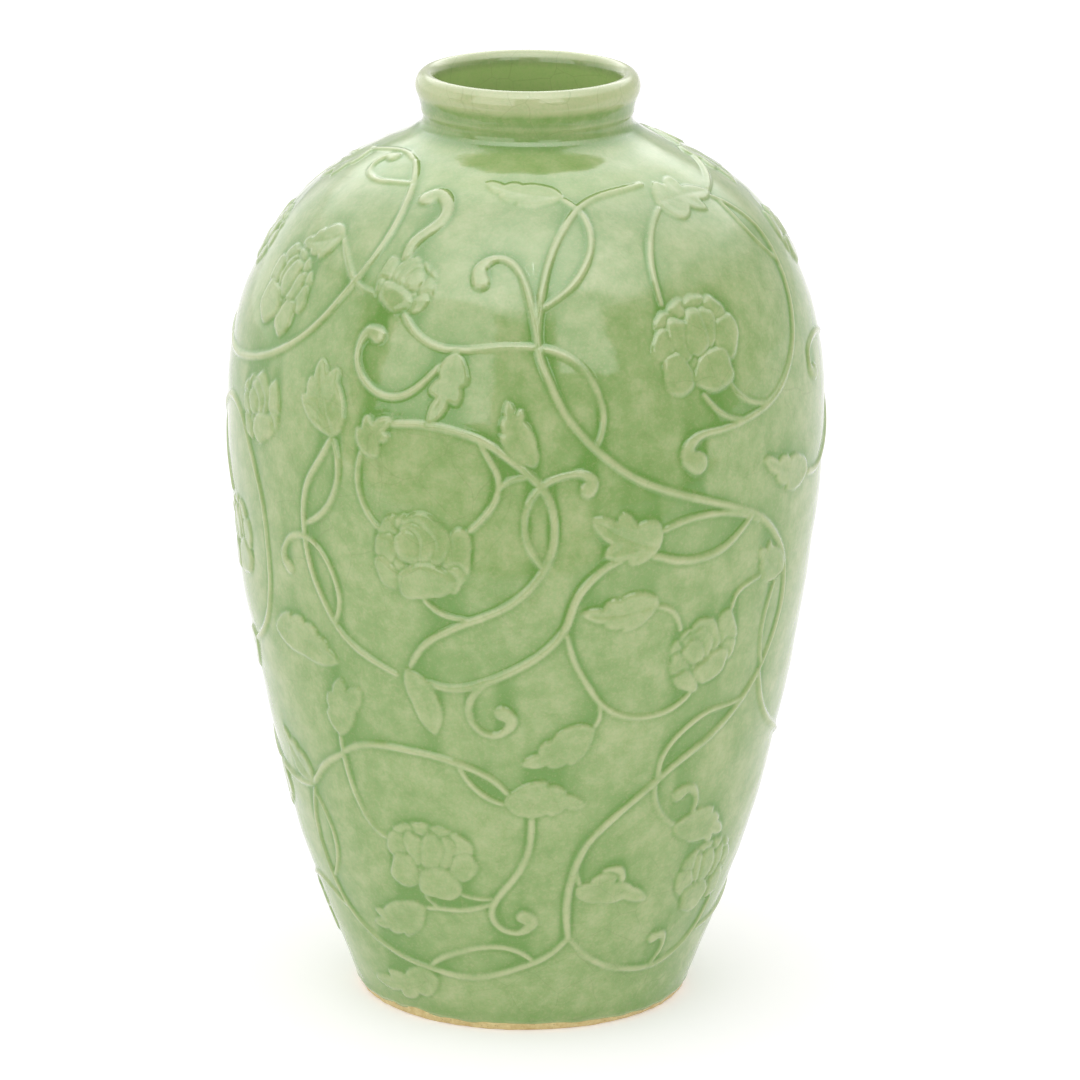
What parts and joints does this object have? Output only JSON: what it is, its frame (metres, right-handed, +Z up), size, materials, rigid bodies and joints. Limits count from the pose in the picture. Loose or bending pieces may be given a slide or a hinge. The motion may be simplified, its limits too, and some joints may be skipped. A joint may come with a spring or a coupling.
{
  "type": "ceramic bud vase",
  "caption": "Broad-shouldered stoneware vase with a short rolled collar, an open throat and carved vine relief under a glossy pale green glaze.",
  "frame": {"origin": "centre of the resting plane under the foot ring", "axes": "+Z up along the vase's axis, the front of the relief towards -Y"},
  "size_m": [0.1536, 0.1536, 0.24],
  "materials": {
    "bare_clay": "unglazed, rough, speckled",
    "outer_glaze": "glossy, faintly crackled",
    "relief_glaze": "glossy, paler on the crests",
    "inner_glaze": "glossy, crackled"
  },
  "bodies": {
    "root": {"clay_body": "bare_clay", "neck_collar": "bare_clay", "vine_stems": "relief_glaze", "tendrils": "relief_glaze", "leaves": "relief_glaze", "flowers": "relief_glaze", "outer_glaze": "outer_glaze", "inner_glaze": "inner_glaze", "foot_glaze": "inner_glaze"}
  },
  "joints": []
}
